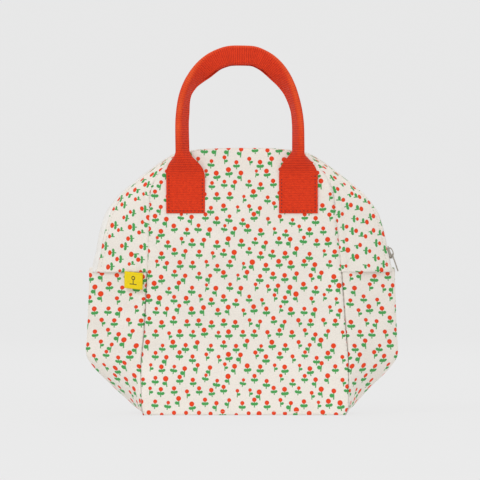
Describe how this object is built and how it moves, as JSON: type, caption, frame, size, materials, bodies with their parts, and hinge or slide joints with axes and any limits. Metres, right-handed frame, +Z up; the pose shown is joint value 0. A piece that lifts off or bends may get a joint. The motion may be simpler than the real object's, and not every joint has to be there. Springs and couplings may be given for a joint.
{
  "type": "zipped lunch bag",
  "caption": "Soft cotton canvas lunch bag with a flat base, flared side gussets, an arched zip over the top and upright webbing handles.",
  "frame": {"origin": "middle of the base panel's underside", "axes": "+Z up; +X along the bag's length, towards the side where the closed zip's pull hangs; -Y is the front"},
  "size_m": [0.3126, 0.13, 0.366],
  "materials": {
    "printed_canvas": "matte plain-weave cotton canvas, cream with a small red and green flower print",
    "lining_cloth": "smooth coated wipe-clean lining, cream",
    "handle_webbing": "ribbed heavy cotton webbing, orange-red",
    "zip_tape": "herringbone zipper tape, cream",
    "zip_teeth": "moulded zipper teeth, cream",
    "zip_metal": "nickel-plated die casting, satin",
    "label_ribbon": "woven satin ribbon, yellow"
  },
  "bodies": {
    "bag_body": {"base_panel": "printed_canvas", "base_lining": "lining_cloth", "front_panel_lower": "printed_canvas", "back_panel_lower": "printed_canvas", "left_side_panel": "printed_canvas", "right_side_panel": "printed_canvas", "front_lining_lower": "lining_cloth", "back_lining_lower": "lining_cloth", "left_side_lining": "lining_cloth", "right_side_lining": "lining_cloth", "snack_pocket": "lining_cloth"},
    "front_half": {"front_panel_upper": "printed_canvas", "front_zip_facing": "printed_canvas", "front_lining_upper": "lining_cloth", "front_facing_lining": "lining_cloth", "front_zip_tape": "zip_tape", "front_zip_teeth": "zip_teeth", "front_handle_left_end": "handle_webbing", "front_handle_right_end": "handle_webbing"},
    "back_half": {"back_panel_upper": "printed_canvas", "back_zip_facing": "printed_canvas", "back_lining_upper": "lining_cloth", "back_facing_lining": "lining_cloth", "back_zip_tape": "zip_tape", "back_zip_teeth": "zip_teeth", "back_handle_left_end": "handle_webbing", "back_handle_right_end": "handle_webbing"},
    "front_handle": {"front_handle": "handle_webbing"},
    "back_handle": {"back_handle": "handle_webbing"},
    "zip_slider": {"zip_slider": "zip_metal"},
    "zip_pull": {"zip_pull": "zip_metal"},
    "side_label": {"side_label": "label_ribbon"}
  },
  "joints": [
    {"name": "zip_travel", "type": "hinge", "parent": "bag_body", "child": "zip_slider", "pos_m": [0, 0, 0.1105], "axis": [0, -1, 0], "range_deg": [0, 142.6]},
    {"name": "front_mouth", "type": "hinge", "parent": "bag_body", "child": "front_half", "pos_m": [0, -0.033, 0.145], "axis": [1, 0, 0], "range_deg": [0, 24]},
    {"name": "back_mouth", "type": "hinge", "parent": "bag_body", "child": "back_half", "pos_m": [0, 0.033, 0.145], "axis": [-1, 0, 0], "range_deg": [0, 24]},
    {"name": "pull_swing", "type": "hinge", "parent": "zip_slider", "child": "zip_pull", "pos_m": [0.15024, 0, 0.15882], "axis": [0, -1, 0], "range_deg": [0, 165]},
    {"name": "front_handle_fold", "type": "hinge", "parent": "front_half", "child": "front_handle", "pos_m": [0, -0.0373, 0.2408], "axis": [1, 0, 0], "range_deg": [0, 150]},
    {"name": "back_handle_fold", "type": "hinge", "parent": "back_half", "child": "back_handle", "pos_m": [0, 0.0373, 0.2408], "axis": [-1, 0, 0], "range_deg": [0, 150]},
    {"name": "label_flap", "type": "hinge", "parent": "bag_body", "child": "side_label", "pos_m": [-0.10947, -0.03036, 0.1425], "axis": [-0.9048, 0.4259, 0], "range_deg": [0, 110]}
  ],
  "couplings": [
    {"joint": "front_mouth", "follows": "zip_travel", "ratio": 0.1683},
    {"joint": "back_mouth", "follows": "zip_travel", "ratio": 0.1683}
  ]
}
